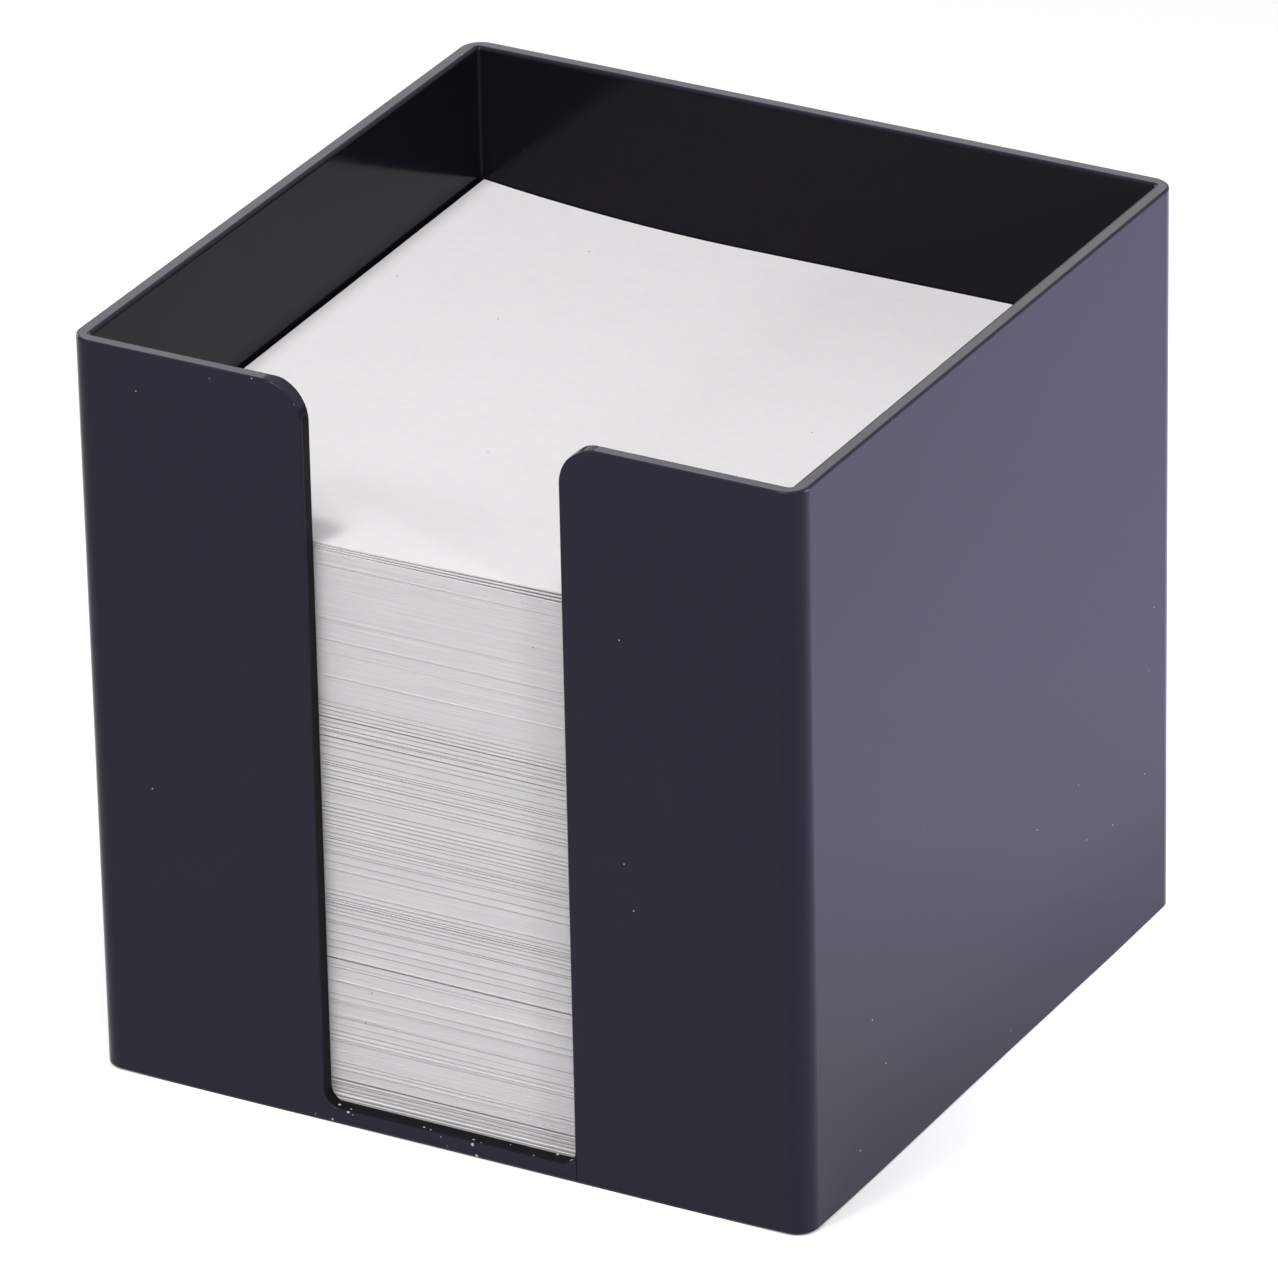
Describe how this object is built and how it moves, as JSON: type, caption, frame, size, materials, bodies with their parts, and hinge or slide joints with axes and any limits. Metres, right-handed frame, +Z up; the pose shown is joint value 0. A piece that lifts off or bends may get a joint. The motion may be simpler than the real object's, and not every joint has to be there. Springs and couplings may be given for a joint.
{
  "type": "memo box",
  "caption": "Open cube-shaped desk box with a finger slot down its front wall, filled with loose square note sheets that lift out upwards.",
  "frame": {"origin": "middle of the base, on the plane that the box stands on", "axes": "+Z up towards the open rim, -Y towards the slotted front wall, +X to the right seen from the front"},
  "size_m": [0.095, 0.095, 0.095],
  "materials": {
    "dark_polystyrene": "satin moulded, blue-black",
    "note_paper": "uncoated, white"
  },
  "bodies": {
    "box": {"box": "dark_polystyrene"},
    "lower_lift": {"lower_bundle_1": "note_paper", "lower_bundle_2": "note_paper", "lower_bundle_3": "note_paper", "lower_bundle_4": "note_paper"},
    "middle_lift": {"middle_bundle_1": "note_paper", "middle_bundle_2": "note_paper", "middle_bundle_3": "note_paper", "middle_bundle_4": "note_paper", "middle_bundle_5": "note_paper", "middle_bundle_6": "note_paper", "middle_bundle_7": "note_paper", "middle_bundle_8": "note_paper"},
    "upper_lift": {"upper_bundle_1": "note_paper", "upper_bundle_2": "note_paper", "upper_bundle_3": "note_paper", "upper_bundle_4": "note_paper"},
    "third_sheet": {"third_sheet": "note_paper"},
    "second_sheet": {"second_sheet": "note_paper"},
    "top_sheet": {"top_sheet": "note_paper"}
  },
  "joints": [
    {"name": "lower_lift_out", "type": "slide", "parent": "box", "child": "lower_lift", "axis": [0, 0, 1], "range_m": [0, 0.096]},
    {"name": "middle_lift_out", "type": "slide", "parent": "lower_lift", "child": "middle_lift", "axis": [0, 0, 1], "range_m": [0, 0.077]},
    {"name": "upper_lift_out", "type": "slide", "parent": "middle_lift", "child": "upper_lift", "axis": [0, 0, 1], "range_m": [0, 0.045]},
    {"name": "third_sheet_off", "type": "slide", "parent": "upper_lift", "child": "third_sheet", "axis": [0, 0, 1], "range_m": [0, 0.024]},
    {"name": "second_sheet_off", "type": "slide", "parent": "third_sheet", "child": "second_sheet", "axis": [0, 0, 1], "range_m": [0, 0.024]},
    {"name": "top_sheet_off", "type": "slide", "parent": "second_sheet", "child": "top_sheet", "axis": [0, 0, 1], "range_m": [0, 0.024]}
  ]
}
